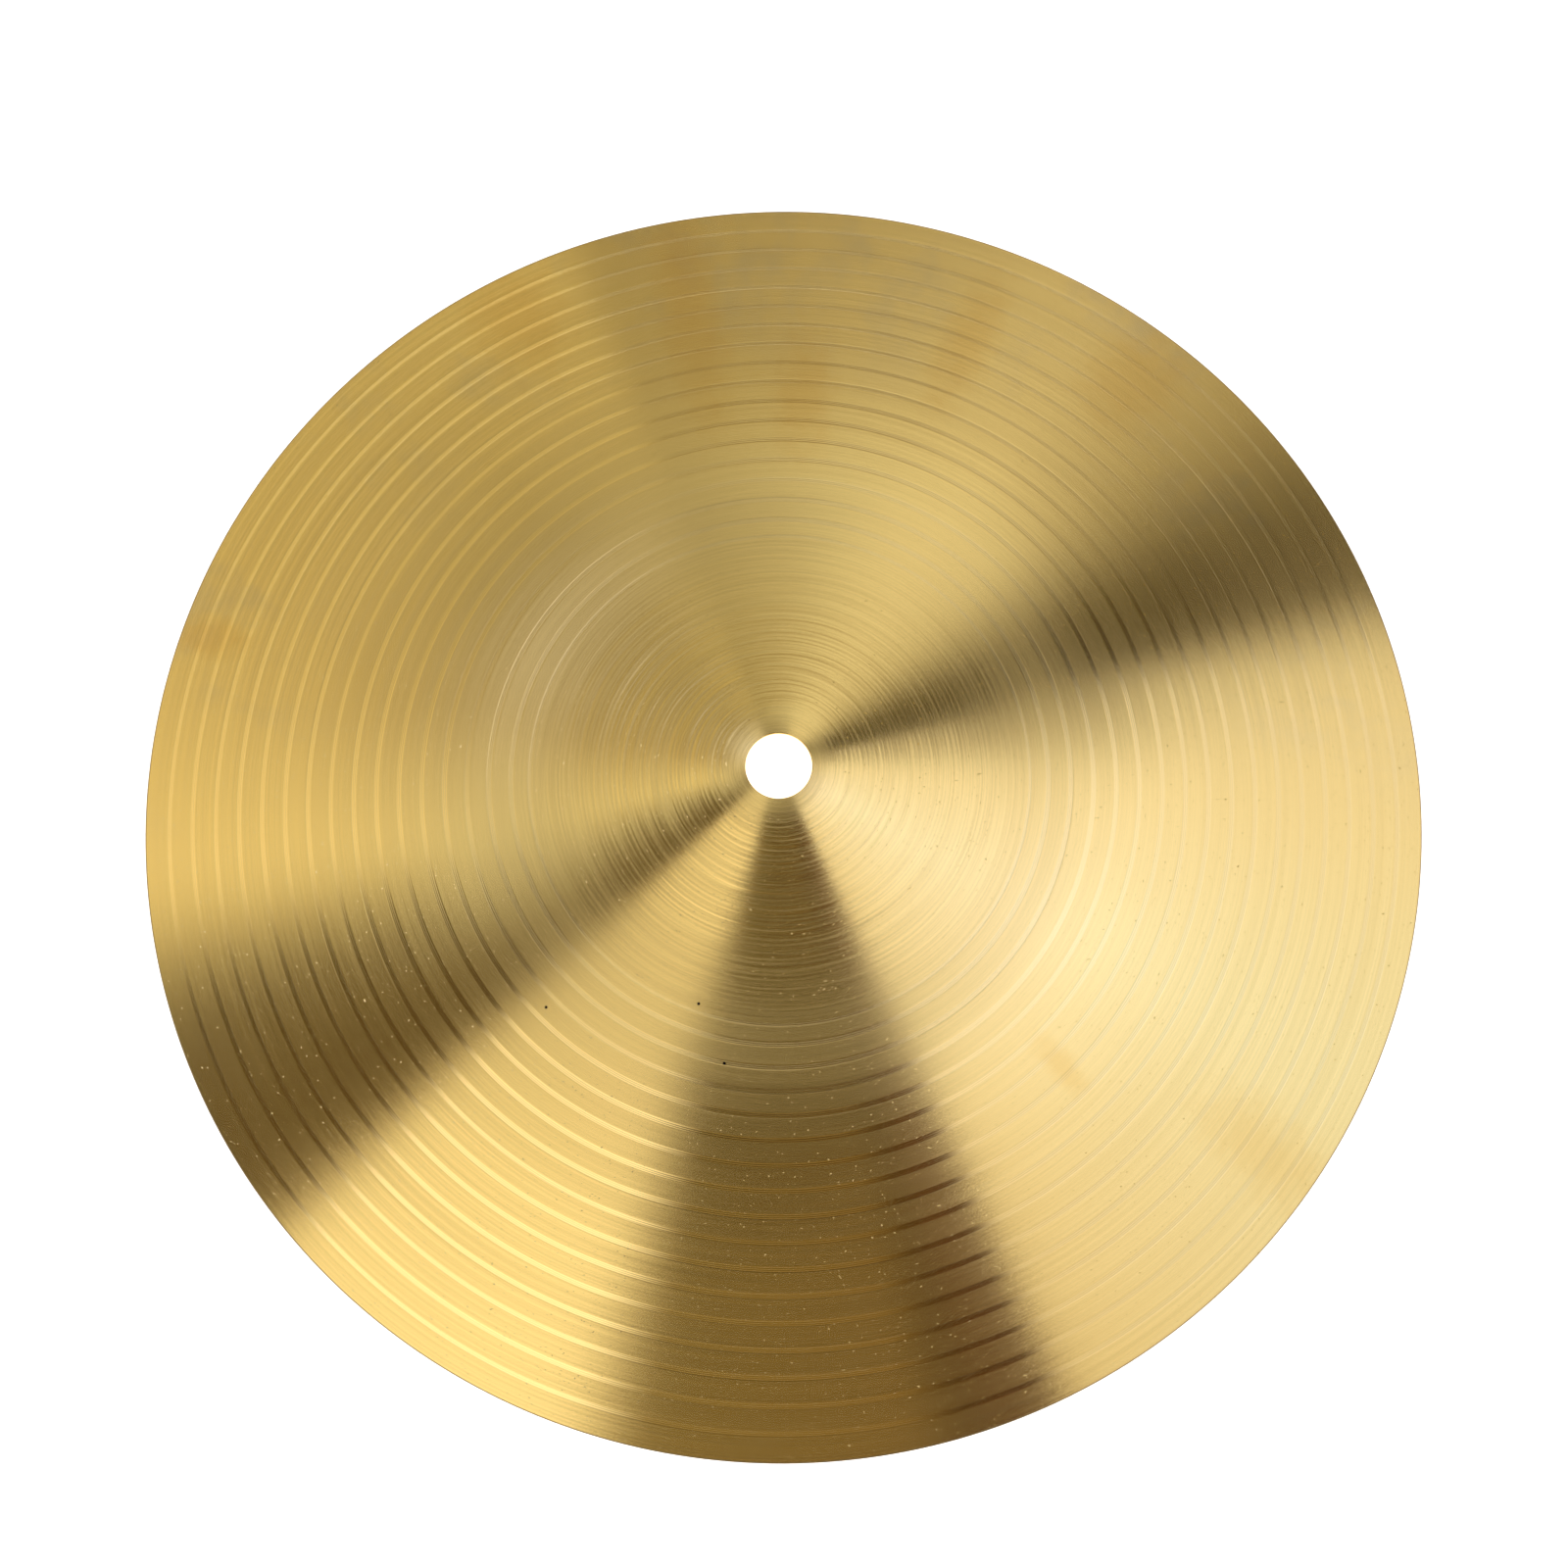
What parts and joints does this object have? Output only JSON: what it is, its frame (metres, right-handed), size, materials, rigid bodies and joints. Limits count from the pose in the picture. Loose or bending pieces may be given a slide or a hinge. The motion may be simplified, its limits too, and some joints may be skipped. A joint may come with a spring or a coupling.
{
  "type": "crash cymbal",
  "caption": "Small round brass cymbal plate with a low bell, a shallow bow, turned sound grooves on its top face and a central stand hole.",
  "frame": {"origin": "centre of the circle that the rim rests on, under the stand hole", "axes": "+Z along the stand hole, from the hollow side to the top of the bell; the plate is round, so +X and +Y are free"},
  "size_m": [0.254, 0.254, 0.0246],
  "materials": {
    "brass": "circularly brushed"
  },
  "bodies": {
    "root": {"cymbal_plate": "brass"}
  },
  "joints": []
}
